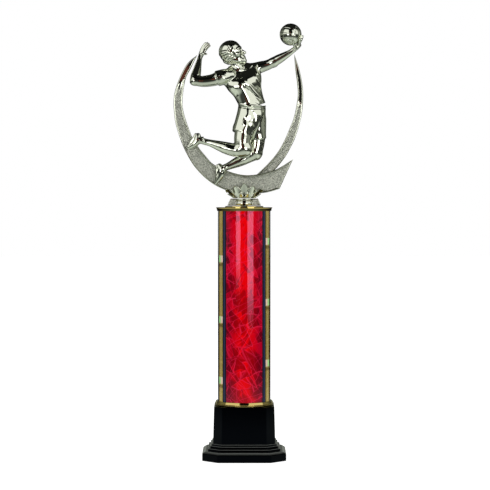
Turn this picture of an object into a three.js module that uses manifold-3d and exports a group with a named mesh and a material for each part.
// Column trophy: a stepped base, a foil-covered column and a plated volleyball topper,
// all clamped on one threaded rod. Millimetres, +Z up, front towards -Y.
// The origin is on the column's axis, on the surface that the trophy stands on.
import * as THREE from 'three';
import { mergeVertices } from 'three/addons/utils/BufferGeometryUtils.js';
import Module from 'manifold-3d';

const wasm = await Module();
wasm.setup();

// ---------------------------------------------------------------- driving dimensions
const GAP = 0.3; // clearance between separate pieces
const PAST = 1; // how far a cutter runs past the face that it opens
const ROUND = 56; // segments round the column
const SMALL_ROUND = 32; // segments round the rod, its holes and the cup

const FELT = { half: 33.6, height: 1.4 };

const BASE = {
  slabHalf: 34.9, // half the width across the flats
  riserFootHalf: 25.9,
  riserTopHalf: 25.1,
  topZ: 44.9,
  wall: 2.6,
  deck: 3.4,
  slabEdge: 0.5, // chamfer round the slab's foot
  topEdge: 0.4, // chamfer round the riser's top
  footCorner: 7.4, // corner cut at the riser's foot
  cornerGrowth: 0.6, // how much more is cut per millimetre of extra half width
};
// Half width and height of each edge of the plinth's steps, from the slab's top up.
const PLINTH_STEPS = [
  [BASE.slabHalf, 6.2],
  [32.0, 8.1],
  [30.2, 8.1],
  [30.0, 10.4],
  [28.4, 10.4],
  [28.2, 12.6],
  [27.1, 12.6],
  [27.0, 14.2],
];

// The hollow under the base: half width and height of each level.
const HOLLOW = [
  [BASE.slabHalf - BASE.wall, 5.2],
  [26, 8],
  [BASE.riserFootHalf - BASE.wall, 12],
  [BASE.riserTopHalf - BASE.wall, BASE.topZ - BASE.deck],
];
const WEIGHT_RECESS = 13; // radius of the well in the weight, round the nut and washer

const ROD = { radius: 3.175, lead: 0.8, bottomZ: 30, topZ: 216.6 };
const ROD_HOLE = 3.7;
const WASHER = { radius: 11, height: 1.6 };
const NUT = { acrossFlats: 11.1, height: 5.6, hole: ROD.radius + GAP };

const RING = {
  flange: 24.8,
  flangeHeight: 0.6,
  bead: 24.4,
  beadEdge: 0.6, // the bead's rounding, top and bottom
  beadBottomZ: 46.2,
  topZ: 48.5,
  spigotHeight: 5, // how far the spigot goes up into the tube above the bead
};
const SPIGOT_WALL = 2;

const COLUMN = { core: 20.9, coreInner: 18.9, bottomZ: 46.6, topZ: 209.4 };
const FOIL = { sleeveInner: 21.2, sleeveOuter: 21.6, inner: 21.9, outer: 22.2 };
// Half angles, in degrees from the panel's centre line, where each band begins and ends.
const RED_EDGE = 44;
const GOLD_START = 54.5;
const GOLD_END = 73;

const CAP = {
  rim: 23.6,
  rimEdge: 0.4, // the rim's rounding
  plate: 1.2, // thickness of the top plate
  skirt: 22.5,
  bottomZ: 207.7,
  rimZ: 210.8,
  seat: 15.8,
  seatZ: 211.8,
  spigotDepth: 3, // how far the spigot reaches below the skirt
};

const TOPPER_SEAT = CAP.seatZ + GAP; // the topper's own heights start here
const FOOT = { bottomHalf: 14.2, topHalf: 11.6, wedgeTop: 5.9, halfDepth: 5.2, boreTop: 5 };
const BOSS = {
  radius: 8.7,
  foot: 7.9,
  height: 3.7,
  bead: 9.1,
  beadHeight: 1.4,
  neck: 8.2,
  lip: 7.6,
  top: 5.9,
};
const BOSS_BELLY = [0.35, 0.7]; // where the boss is widest, as shares of its height
const FOOT_NUT_HEIGHT = 3.6;
const CUTTER = 60; // side of a cutting block, wider than the whole foot
const CUP = { bottom: BOSS.top + GAP, top: 10.1, lowRadius: 7.6, topRadius: 9.6, depth: 0.84 };
const PETAL = {
  width: 7.6,
  thickness: 1.6,
  footShare: 0.6, // the foot's width as a share of the petal's
  bellyShare: 1.4, // how far the outline's control points stand out
  bellyHeight: 0.55,
};
// Each petal's foot and tip on the front of the cup: x, y and height above the seat.
const PETALS = [
  { foot: [0, -5.6, 6.8], tip: [0, -8.6, 19.1] },
  { foot: [4.2, -4.8, 6.8], tip: [7.5, -8, 16.6] },
  { foot: [7.4, -3.4, 6.8], tip: [14.6, -5.6, 14.4] },
];

const CRESCENT = {
  centreX: -2,
  centreH: 85,
  thickness: 4,
  bandFront: -4,
  rearFront: GAP,
  edgeSteps: 40, // segments along each edge
};
// Each crescent's two edges, as (degrees, radius) about the crescents' shared centre.
const BAND_OUTER = [
  [132, 55.5], [146, 56.8], [170, 57.1], [190, 57.3], [205, 58.5],
  [220, 61.6], [235, 66.3], [250, 71], [265, 74.2], [283, 76.4], [294, 77.7],
];
const BAND_POINT = [313, 63];
const BAND_INNER = [
  [132, 55.5], [145, 52.2], [158, 51.3], [182, 49.6], [206, 48.9],
  [219, 50.3], [233, 52.5], [248, 56], [272, 59.4], [295, 61.4], BAND_POINT,
];
const REAR_OUTER = [
  [44, 61], [31, 56.4], [15, 53], [0, 51.2], [-13, 51],
  [-30, 52.5], [-42, 54.8], [-53, 58], [-66, 62.5], [-80, 68],
];
const REAR_INNER = [
  [44, 61], [33, 53.6], [22, 50], [10, 47.8], [-2, 45.8], [-15, 45],
  [-28, 45], [-42, 47.2], [-55, 50.7], [-68, 55.2], [-80, 61.5],
];

const BALL = { centre: [38.8, -3.2, 143.1], radius: 9.2, around: 24, over: 16 };

// The player's joints: x, y and height above the topper's seat.
const JOINT = {
  head: [-10.4, -5.6, 127.4],
  neck: [-4.8, -4.4, 114.5],
  chest: [-2, -4.2, 104],
  waist: [6, -4.2, 87.5],
  pelvis: [7, -4.2, 79],
  rightShoulder: [-17.6, -9.6, 107.6],
  rightUpperArm: [-27.4, -9.2, 104],
  rightElbow: [-41.4, -8.4, 103.6],
  rightForearm: [-38.8, -7.4, 114],
  rightWrist: [-37, -6.6, 124.4],
  rightKnuckles: [-34.2, -6.8, 130.4],
  rightFingers: [-30, -7, 135],
  rightThumb: [-31.4, -7.8, 126.6],
  leftShoulder: [10.2, 1.6, 115],
  leftElbow: [24.5, 0.2, 120.2],
  leftForearm: [31, -1, 123.6],
  leftWrist: [40.6, -2.8, 129.6],
  leftPalm: [46, -2.8, 134],
  leftFingers: [49.4, -2.8, 140.8],
  rightHip: [2.4, -7.6, 75],
  rightHem: [-0.8, -9.6, 67],
  rightKnee: [0, -11.6, 47],
  rightCalf: [-14.6, -10, 48.6],
  rightAnkle: [-31.6, -8, 53],
  rightHeel: [-38.4, -7.2, 58],
  rightInstep: [-38.4, -7.8, 53.6],
  rightToe: [-46.4, -6.4, 48.4],
  leftHip: [11, -1, 74],
  leftHem: [11.8, -2, 64],
  leftKnee: [8.4, -3, 44],
  leftCalf: [-4, -5.2, 38.6],
  leftAnkle: [-15.6, -7.6, 32.4],
  leftHeel: [-20.4, -7.4, 32],
  leftInstep: [-18.8, -8, 28.6],
  leftToe: [-23.8, -6.4, 18.8],
};
// The limbs: from, to, radius at each end, and depth as a share of the width.
const LIMBS = [
  ['head', 'head', 9.6, 9.6, 0.86],
  ['head', 'neck', 5.6, 4.6, 1],
  ['neck', 'chest', 6, 13.4, 0.66],
  ['chest', 'waist', 14.6, 11.6, 0.6],
  ['waist', 'pelvis', 11.6, 11.8, 0.7],
  ['rightShoulder', 'chest', 6, 8, 1],
  ['leftShoulder', 'chest', 5.6, 8, 1],
  ['rightShoulder', 'rightUpperArm', 5.8, 5.2, 1],
  ['rightUpperArm', 'rightElbow', 5.2, 3.9, 1],
  ['rightElbow', 'rightForearm', 3.9, 3.1, 1],
  ['rightForearm', 'rightWrist', 3.1, 2, 1],
  ['rightWrist', 'rightKnuckles', 2, 2.6, 0.8],
  ['rightKnuckles', 'rightFingers', 2.6, 1.6, 0.8],
  ['rightWrist', 'rightThumb', 1.6, 1, 1],
  ['leftShoulder', 'leftElbow', 5.4, 4, 1],
  ['leftElbow', 'leftForearm', 4, 3.7, 1],
  ['leftForearm', 'leftWrist', 3.7, 2.1, 1],
  ['leftWrist', 'leftPalm', 2.1, 2.4, 1],
  ['leftPalm', 'leftFingers', 2.2, 1.5, 1],
  ['pelvis', 'rightHip', 10.4, 9.6, 0.8],
  ['pelvis', 'leftHip', 10.4, 8.4, 0.8],
  ['rightHip', 'rightHem', 9.8, 9.8, 0.8],
  ['rightHip', 'rightKnee', 8, 6.2, 1],
  ['rightKnee', 'rightCalf', 6, 5, 1],
  ['rightCalf', 'rightAnkle', 5, 2.4, 1],
  ['rightAnkle', 'rightInstep', 2.5, 3.4, 0.8],
  ['rightHeel', 'rightInstep', 2.4, 3.4, 0.8],
  ['rightInstep', 'rightToe', 3.4, 1.2, 0.8],
  ['leftHip', 'leftHem', 8.4, 7, 0.9],
  ['leftHip', 'leftKnee', 7.4, 6.2, 1],
  ['leftKnee', 'leftCalf', 5.8, 4.6, 1],
  ['leftCalf', 'leftAnkle', 4.6, 2.5, 1],
  ['leftAnkle', 'leftInstep', 2.5, 3.3, 0.8],
  ['leftHeel', 'leftInstep', 2.5, 3.3, 0.8],
  ['leftInstep', 'leftToe', 3.3, 1.2, 0.8],
];
const LIMB_SIDES = 10;
const LIMB_ARC = 3; // segments on each rounded end

// ---------------------------------------------------------------- materials
const finish = (color, roughness, metalness) =>
  new THREE.MeshStandardMaterial({ color, roughness, metalness });
const MATERIAL = {
  blackPlastic: finish(0x08080a, 0.15, 0),
  plaster: finish(0xb9b2a5, 0.9, 0),
  felt: finish(0x17171a, 1, 0),
  steel: finish(0xa9abad, 0.4, 1),
  brass: finish(0xb08d3f, 0.35, 1),
  cardboard: finish(0xa88a63, 0.9, 0),
  blackFoil: finish(0x0c0e1c, 0.12, 0.3),
  redPearl: finish(0xc00018, 0.15, 0.4),
  goldFoil: finish(0x8e7430, 0.2, 0.9),
  goldPlate: finish(0x8c7e4a, 0.12, 1),
  chromePlate: finish(0xd8dbcf, 0.06, 1),
  stippledPlate: finish(0x9c9e94, 0.45, 0.9),
};

// ---------------------------------------------------------------- solids
function toSolid(geometry) {
  const bare = geometry.clone();
  bare.deleteAttribute('normal');
  bare.deleteAttribute('uv');
  const merged = mergeVertices(bare, 1e-4);
  return new wasm.Manifold(new wasm.Mesh({
    numProp: 3,
    vertProperties: new Float32Array(merged.attributes.position.array),
    triVerts: new Uint32Array(merged.index.array),
  }));
}

function toGeometry(solid) {
  const mesh = solid.getMesh();
  const geometry = new THREE.BufferGeometry();
  geometry.setAttribute('position', new THREE.BufferAttribute(mesh.vertProperties, 3));
  geometry.setIndex(new THREE.BufferAttribute(mesh.triVerts, 1));
  geometry.computeVertexNormals();
  return geometry;
}

function join(geometries) {
  const solids = geometries.map(toSolid);
  return toGeometry(solids.reduce((whole, piece) => whole.add(piece)));
}

function cut(geometry, cutters) {
  return toGeometry(cutters.map(toSolid).reduce((rest, piece) => rest.subtract(piece), toSolid(geometry)));
}

// A closed turned shape about Z from (radius, z) pairs, listed from the bottom upwards.
function turned(pairs, segments = ROUND) {
  const points = pairs.map(([radius, z]) => new THREE.Vector2(radius, z));
  return new THREE.LatheGeometry(points, segments).rotateX(Math.PI / 2);
}

// A turned tube: outer side up, inner side down, closed on itself.
function turnedTube(outer, inner, bottomZ, topZ, segments = ROUND) {
  const section = [[inner, bottomZ], [outer, bottomZ], [outer, topZ], [inner, topZ], [inner, bottomZ]];
  return turned(section, segments);
}

function hole(radius, bottomZ, topZ, segments = SMALL_ROUND) {
  return new THREE.CylinderGeometry(radius, radius, topZ - bottomZ, segments)
    .rotateX(Math.PI / 2)
    .translate(0, 0, (bottomZ + topZ) / 2);
}

function hexagon(acrossFlats, bottomZ, topZ) {
  return hole(acrossFlats / Math.sqrt(3), bottomZ, topZ, 6);
}

// A square with cut corners, the plan of every level of the base.
function cutSquare(half, z) {
  const corner = BASE.footCorner + BASE.cornerGrowth * (half - BASE.riserFootHalf);
  const flat = half - corner;
  const plan = [
    [half, -flat], [half, flat], [flat, half], [-flat, half],
    [-half, flat], [-half, -flat], [-flat, -half], [flat, -half],
  ];
  return plan.map(([x, y]) => new THREE.Vector3(x, y, z));
}

// A closed solid through rings of points of equal number, from the bottom ring up.
function loft(rings) {
  const count = rings[0].length;
  const positions = rings.flat().flatMap((point) => [point.x, point.y, point.z]);
  const index = [];
  for (let ring = 0; ring < rings.length - 1; ring++) {
    for (let k = 0; k < count; k++) {
      const a = ring * count + k;
      const b = ring * count + ((k + 1) % count);
      index.push(a, b, b + count, a, b + count, a + count);
    }
  }
  const last = (rings.length - 1) * count;
  for (let k = 1; k < count - 1; k++) {
    index.push(0, k + 1, k, last, last + k, last + k + 1);
  }
  const geometry = new THREE.BufferGeometry();
  geometry.setAttribute('position', new THREE.Float32BufferAttribute(positions, 3));
  geometry.setIndex(index);
  geometry.computeVertexNormals();
  return geometry;
}

const octagonStack = (pairs) => loft(pairs.map(([half, z]) => cutSquare(half, z)));

// A tapered limb with round ends; `depth` flattens it along Y.
function limb(from, to, radiusFrom, radiusTo, depth) {
  const start = new THREE.Vector3(...from);
  const end = new THREE.Vector3(...to);
  const length = start.distanceTo(end);
  const points = [];
  for (let k = 0; k <= LIMB_ARC; k++) {
    const angle = (k / LIMB_ARC) * (Math.PI / 2);
    points.push(new THREE.Vector2(radiusFrom * Math.sin(angle), -radiusFrom * Math.cos(angle)));
  }
  for (let k = length > 0 ? 0 : 1; k <= LIMB_ARC; k++) {
    const angle = (k / LIMB_ARC) * (Math.PI / 2);
    points.push(new THREE.Vector2(radiusTo * Math.cos(angle), length + radiusTo * Math.sin(angle)));
  }
  points[0].x = 0;
  points.at(-1).x = 0;
  const along = length > 0 ? end.clone().sub(start).normalize() : new THREE.Vector3(0, 0, 1);
  const deep = new THREE.Vector3(0, 1, 0).addScaledVector(along, -along.y).normalize();
  const across = along.clone().cross(deep);
  const frame = new THREE.Matrix4().makeBasis(across, along, deep).setPosition(start);
  return new THREE.LatheGeometry(points, LIMB_SIDES).scale(1, 1, depth).applyMatrix4(frame);
}

// Points in the crescents' plane from a list of (degrees, radius) knots, on a smooth curve.
function ringPoints(knots, count) {
  const onPlane = knots.map(([degrees, radius]) => {
    const angle = THREE.MathUtils.degToRad(degrees);
    return new THREE.Vector2(
      CRESCENT.centreX + radius * Math.cos(angle),
      CRESCENT.centreH + radius * Math.sin(angle),
    );
  });
  return new THREE.SplineCurve(onPlane).getPoints(count);
}

// A crescent plate between two edges, its front face at y = frontY.
function crescent(outer, inner, frontY) {
  const edge = [...outer, ...inner.reverse()];
  const shape = new THREE.Shape(edge);
  const options = { depth: CRESCENT.thickness, bevelEnabled: false };
  return new THREE.ExtrudeGeometry(shape, options)
    .rotateX(Math.PI / 2)
    .translate(0, frontY + CRESCENT.thickness, 0);
}

// ---------------------------------------------------------------- the scene graph
const trophy = new THREE.Group();
const baseGroup = new THREE.Group();
const columnGroup = new THREE.Group();
const topperGroup = new THREE.Group();
topperGroup.position.z = TOPPER_SEAT;
trophy.add(baseGroup, columnGroup, topperGroup);

function addPiece(group, name, geometry, material) {
  const mesh = new THREE.Mesh(geometry, material);
  mesh.name = name;
  group.add(mesh);
  return mesh;
}

// ---------------------------------------------------------------- base
function makeBase() {
  const shellBottom = FELT.height + GAP;
  const outside = octagonStack([
    [BASE.slabHalf - BASE.slabEdge, shellBottom],
    [BASE.slabHalf, shellBottom + BASE.slabEdge],
    ...PLINTH_STEPS,
    [BASE.riserFootHalf, PLINTH_STEPS.at(-1)[1]],
    [BASE.riserTopHalf, BASE.topZ - BASE.topEdge],
    [BASE.riserTopHalf - BASE.topEdge, BASE.topZ],
  ]);
  const inside = octagonStack([[HOLLOW[0][0], shellBottom - PAST], ...HOLLOW]);
  const bore = hole(ROD_HOLE, BASE.topZ - BASE.deck - PAST, BASE.topZ + PAST);
  addPiece(baseGroup, 'base_shell', cut(outside, [inside, bore]), MATERIAL.blackPlastic);

  const felt = octagonStack([[FELT.half, 0], [FELT.half, FELT.height]]);
  addPiece(baseGroup, 'base_felt', felt, MATERIAL.felt);
}

// The plaster that fills the hollow, open round the nut and washer.
function makeWeight() {
  const bottomZ = FELT.height + 2 * GAP;
  const levels = HOLLOW.map(([half, z]) => [half - 2 * GAP, z - GAP]);
  const block = octagonStack([[levels[0][0], bottomZ], ...levels]);
  const well = hole(WEIGHT_RECESS, bottomZ - PAST, BASE.topZ);
  addPiece(baseGroup, 'base_weight', cut(block, [well]), MATERIAL.plaster);
}

function makeFasteners() {
  const washerTop = BASE.topZ - BASE.deck - GAP;
  const washerBottom = washerTop - WASHER.height;
  const washer = turnedTube(WASHER.radius, NUT.hole, washerBottom, washerTop, SMALL_ROUND);
  addPiece(baseGroup, 'base_washer', washer, MATERIAL.steel);

  const nutTop = washerBottom - GAP;
  const nutBottom = nutTop - NUT.height;
  const nutBore = hole(NUT.hole, nutBottom - PAST, nutTop + PAST);
  const nut = cut(hexagon(NUT.acrossFlats, nutBottom, nutTop), [nutBore]);
  addPiece(baseGroup, 'base_nut', nut, MATERIAL.steel);

  const rod = turned([
    [0, ROD.bottomZ],
    [ROD.radius - ROD.lead, ROD.bottomZ],
    [ROD.radius, ROD.bottomZ + ROD.lead],
    [ROD.radius, ROD.topZ - ROD.lead],
    [ROD.radius - ROD.lead, ROD.topZ],
    [0, ROD.topZ],
  ], SMALL_ROUND);
  addPiece(baseGroup, 'threaded_rod', rod, MATERIAL.steel);
}

// ---------------------------------------------------------------- column
function makeBottomRing() {
  const floorZ = BASE.topZ + GAP;
  const spigotTop = RING.topZ + RING.spigotHeight;
  const spigot = COLUMN.coreInner - GAP;
  const profile = [
    [ROD_HOLE, floorZ],
    [RING.flange, floorZ],
    [RING.flange, floorZ + RING.flangeHeight],
    [RING.bead - RING.beadEdge, RING.beadBottomZ],
    [RING.bead, RING.beadBottomZ + RING.beadEdge],
    [RING.bead, RING.topZ - RING.beadEdge],
    [RING.bead - RING.beadEdge, RING.topZ],
    [FOIL.outer + GAP, RING.topZ],
    [FOIL.outer + GAP, COLUMN.bottomZ - GAP],
    [spigot, COLUMN.bottomZ - GAP],
    [spigot, spigotTop],
    [spigot - SPIGOT_WALL, spigotTop],
    [spigot - SPIGOT_WALL, COLUMN.bottomZ],
    [ROD_HOLE, COLUMN.bottomZ],
    [ROD_HOLE, floorZ],
  ];
  addPiece(columnGroup, 'column_bottom_ring', turned(profile), MATERIAL.goldPlate);
}

function makeTube() {
  const core = turnedTube(COLUMN.core, COLUMN.coreInner, COLUMN.bottomZ, COLUMN.topZ);
  addPiece(columnGroup, 'column_core', core, MATERIAL.cardboard);
  const sleeve = turnedTube(FOIL.sleeveOuter, FOIL.sleeveInner, COLUMN.bottomZ, COLUMN.topZ);
  addPiece(columnGroup, 'black_foil_sleeve', sleeve, MATERIAL.blackFoil);
}

// One strip of foil on the sleeve, between two angles measured from the front (-Y).
function foilStrip(fromDegrees, toDegrees, segments) {
  const start = THREE.MathUtils.degToRad(fromDegrees - 90);
  const end = THREE.MathUtils.degToRad(toDegrees - 90);
  const section = new THREE.Shape();
  section.absarc(0, 0, FOIL.outer, start, end, false);
  section.absarc(0, 0, FOIL.inner, end, start, true);
  section.closePath();
  const options = { depth: COLUMN.topZ - COLUMN.bottomZ, bevelEnabled: false, curveSegments: segments };
  return new THREE.ExtrudeGeometry(section, options).translate(0, 0, COLUMN.bottomZ);
}

function makeFoilBands() {
  for (const [side, turn] of [['front', 0], ['back', 180]]) {
    const panel = foilStrip(turn - RED_EDGE, turn + RED_EDGE, 20);
    addPiece(columnGroup, `red_pearl_panel_${side}`, panel, MATERIAL.redPearl);
    const right = foilStrip(turn + GOLD_START, turn + GOLD_END, 5);
    addPiece(columnGroup, `gold_stripe_${side}_1`, right, MATERIAL.goldFoil);
    const left = foilStrip(turn - GOLD_END, turn - GOLD_START, 5);
    addPiece(columnGroup, `gold_stripe_${side}_2`, left, MATERIAL.goldFoil);
  }
}

function makeTopCap() {
  const spigot = COLUMN.coreInner - GAP;
  const floorZ = CAP.rimZ - CAP.plate;
  const profile = [
    [ROD_HOLE, floorZ],
    [spigot - SPIGOT_WALL, floorZ],
    [spigot - SPIGOT_WALL, CAP.bottomZ - CAP.spigotDepth],
    [spigot, CAP.bottomZ - CAP.spigotDepth],
    [spigot, COLUMN.topZ + GAP],
    [FOIL.outer + GAP, COLUMN.topZ + GAP],
    [FOIL.outer + GAP, CAP.bottomZ],
    [CAP.skirt + GAP, CAP.bottomZ],
    [CAP.rim - CAP.rimEdge, CAP.rimZ - 2 * CAP.rimEdge],
    [CAP.rim, CAP.rimZ - CAP.rimEdge],
    [CAP.rim - CAP.rimEdge, CAP.rimZ],
    [CAP.seat + CAP.rimEdge, CAP.rimZ],
    [CAP.seat, CAP.seatZ],
    [ROD_HOLE, CAP.seatZ],
    [ROD_HOLE, floorZ],
  ];
  addPiece(columnGroup, 'column_top_cap', turned(profile), MATERIAL.goldPlate);
}

// ---------------------------------------------------------------- topper: foot and petals
function makeFoot() {
  const level = (half, z) => [
    new THREE.Vector3(half, -FOOT.halfDepth, z),
    new THREE.Vector3(half, FOOT.halfDepth, z),
    new THREE.Vector3(-half, FOOT.halfDepth, z),
    new THREE.Vector3(-half, -FOOT.halfDepth, z),
  ];
  const wedge = loft([level(FOOT.bottomHalf, 0), level(FOOT.topHalf, FOOT.wedgeTop)]);
  const boss = turned([
    [0, 0],
    [BOSS.foot, 0],
    [BOSS.radius, BOSS.height * BOSS_BELLY[0]],
    [BOSS.radius, BOSS.height * BOSS_BELLY[1]],
    [BOSS.neck, BOSS.height],
    [BOSS.bead, BOSS.height + BOSS.beadHeight / 2],
    [BOSS.neck, BOSS.height + BOSS.beadHeight],
    [BOSS.lip, BOSS.top],
    [0, BOSS.top],
  ], ROUND);
  const pocket = hexagon(NUT.acrossFlats + 2 * GAP, -PAST, FOOT_NUT_HEIGHT + GAP);
  const bore = hole(ROD_HOLE, -PAST, FOOT.boreTop);
  addPiece(topperGroup, 'topper_foot', cut(join([wedge, boss]), [pocket, bore]), MATERIAL.stippledPlate);

  const nutBore = hole(NUT.hole, -PAST, FOOT_NUT_HEIGHT + PAST);
  const nut = cut(hexagon(NUT.acrossFlats, 0, FOOT_NUT_HEIGHT), [nutBore]);
  addPiece(topperGroup, 'topper_nut', nut, MATERIAL.brass);
}

// One pointed leaf from its foot to its tip, facing out from the axis. The cup is flattened along Y,
// so a leaf faces more to the front than its place round the cup alone would say.
function petal(foot, tip) {
  const start = new THREE.Vector3(...foot);
  const along = new THREE.Vector3(...tip).sub(start);
  const height = along.length();
  along.normalize();
  const radial = new THREE.Vector3(start.x, start.y * 2, 0);
  const outward = radial.addScaledVector(along, -radial.dot(along)).normalize();
  const across = along.clone().cross(outward);
  const footHalf = PETAL.width / 2 * PETAL.footShare;
  const belly = PETAL.width / 2 * PETAL.bellyShare;
  const bellyHeight = height * PETAL.bellyHeight;
  const outline = new THREE.Shape();
  outline.moveTo(-footHalf, 0);
  outline.lineTo(footHalf, 0);
  outline.quadraticCurveTo(belly, bellyHeight, 0, height);
  outline.quadraticCurveTo(-belly, bellyHeight, -footHalf, 0);
  const frame = new THREE.Matrix4().makeBasis(across, along, outward).setPosition(start);
  const options = { depth: PETAL.thickness, bevelEnabled: false, curveSegments: 5 };
  return new THREE.ExtrudeGeometry(outline, options).applyMatrix4(frame);
}

// The cup's petals stand in front of the band and behind the rear crescent.
function makeLotusCup() {
  const core = turned([
    [0, CUP.bottom],
    [CUP.lowRadius, CUP.bottom],
    [CUP.topRadius, CUP.top],
    [0, CUP.top],
  ], SMALL_ROUND).scale(1, CUP.depth, 1);
  const pieces = [core];
  for (const { foot, tip } of PETALS) {
    for (const mirror of foot[0] === 0 ? [1] : [1, -1]) {
      const leaf = petal([foot[0] * mirror, foot[1], foot[2]], [tip[0] * mirror, tip[1], tip[2]]);
      pieces.push(leaf, leaf.clone().rotateZ(Math.PI));
    }
  }
  const slotFront = CRESCENT.bandFront - GAP;
  const slotBack = CRESCENT.rearFront + CRESCENT.thickness + GAP;
  const slot = new THREE.BoxGeometry(CUTTER, slotBack - slotFront, CUTTER)
    .translate(0, (slotBack + slotFront) / 2, CUP.top + CUTTER / 2);
  const under = new THREE.BoxGeometry(CUTTER, CUTTER, CUTTER).translate(0, 0, CUP.bottom - CUTTER / 2);
  addPiece(topperGroup, 'lotus_cup', cut(join(pieces), [slot, under]), MATERIAL.chromePlate);
}

// ---------------------------------------------------------------- topper: crescents
function makeCrescents() {
  const bandOuter = ringPoints(BAND_OUTER, CRESCENT.edgeSteps);
  const bandInner = ringPoints(BAND_INNER, CRESCENT.edgeSteps);
  const band = crescent(bandOuter, bandInner, CRESCENT.bandFront);
  addPiece(topperGroup, 'front_crescent', band, MATERIAL.stippledPlate);

  const rearOuter = ringPoints(REAR_OUTER, CRESCENT.edgeSteps);
  const rearInner = ringPoints(REAR_INNER, CRESCENT.edgeSteps);
  const rear = crescent(rearOuter, rearInner, CRESCENT.rearFront);
  addPiece(topperGroup, 'rear_crescent', rear, MATERIAL.stippledPlate);
}

// ---------------------------------------------------------------- topper: player and ball
function makePlayer() {
  const sphere = (radius) => new THREE.SphereGeometry(radius, BALL.around, BALL.over)
    .rotateX(Math.PI / 2)
    .translate(...BALL.centre);
  const limbs = LIMBS.map(([from, to, radiusFrom, radiusTo, depth]) =>
    limb(JOINT[from], JOINT[to], radiusFrom, radiusTo, depth));
  addPiece(topperGroup, 'player', cut(join(limbs), [sphere(BALL.radius + GAP)]), MATERIAL.chromePlate);

  addPiece(topperGroup, 'ball', sphere(BALL.radius), MATERIAL.chromePlate);
}

makeBase();
makeWeight();
makeFasteners();
makeBottomRing();
makeTube();
makeFoilBands();
makeTopCap();
makeFoot();
makeLotusCup();
makeCrescents();
makePlayer();

export default trophy;
